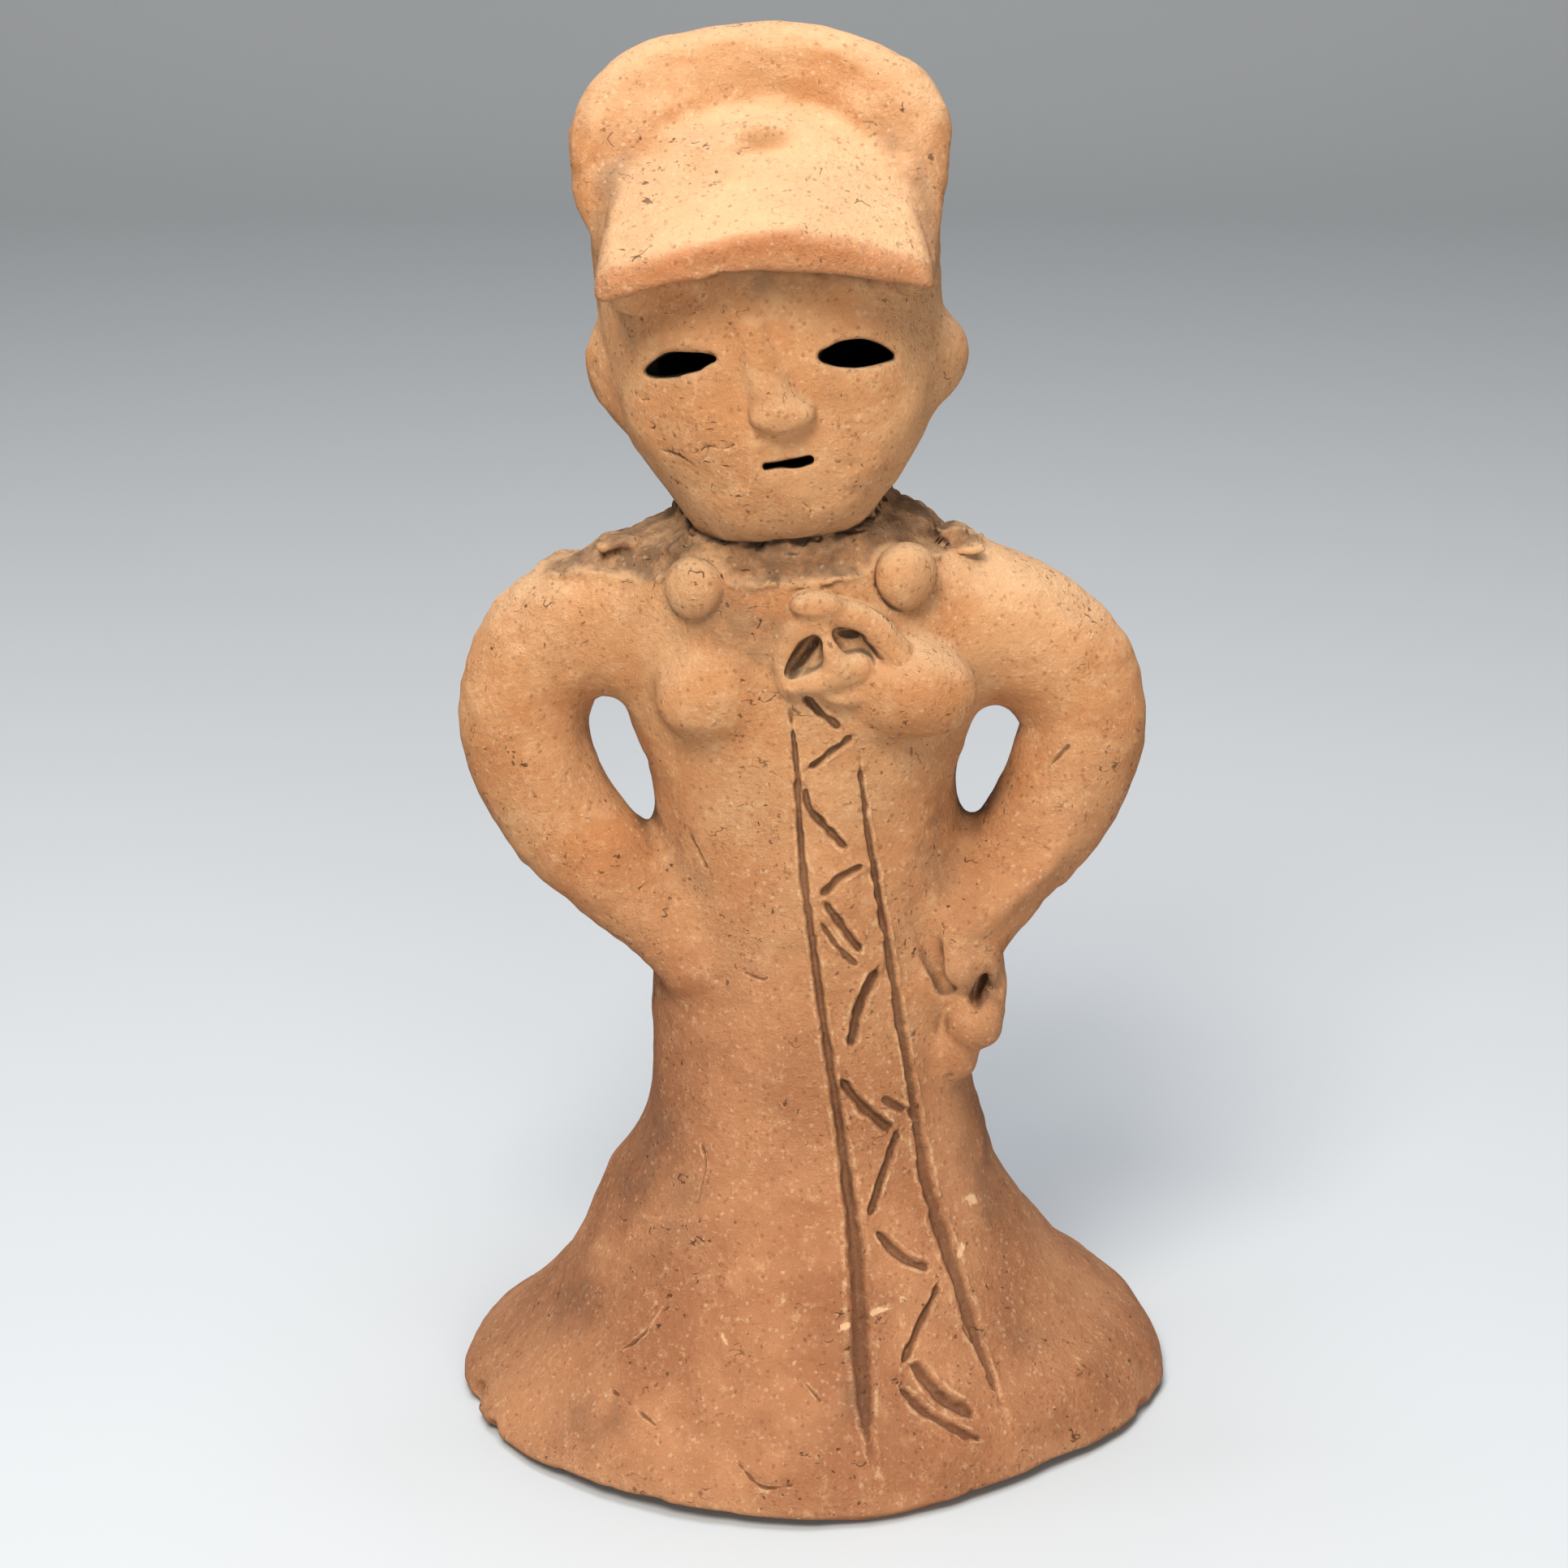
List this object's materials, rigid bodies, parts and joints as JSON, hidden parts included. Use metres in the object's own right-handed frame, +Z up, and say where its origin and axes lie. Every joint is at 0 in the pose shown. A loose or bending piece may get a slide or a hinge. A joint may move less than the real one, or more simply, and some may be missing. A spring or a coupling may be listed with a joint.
{
  "type": "haniwa figure",
  "caption": "Small hollow terracotta haniwa of a standing woman with a bell skirt, hands on hips, slit eyes, folded topknot and a scored sash; stands on its open rim.",
  "frame": {"origin": "middle of the foot rim, on the surface that the figure stands on", "axes": "+Z up, the face looks along -Y, +X is to the right of someone looking at the face"},
  "size_m": [0.1098, 0.1056, 0.2154],
  "materials": {
    "terracotta": "unglazed low-fired clay, peach-ochre above and orange-brown on the skirt, matt, pitted, smudged grey"
  },
  "bodies": {
    "root": {"figure": "terracotta"}
  },
  "joints": []
}
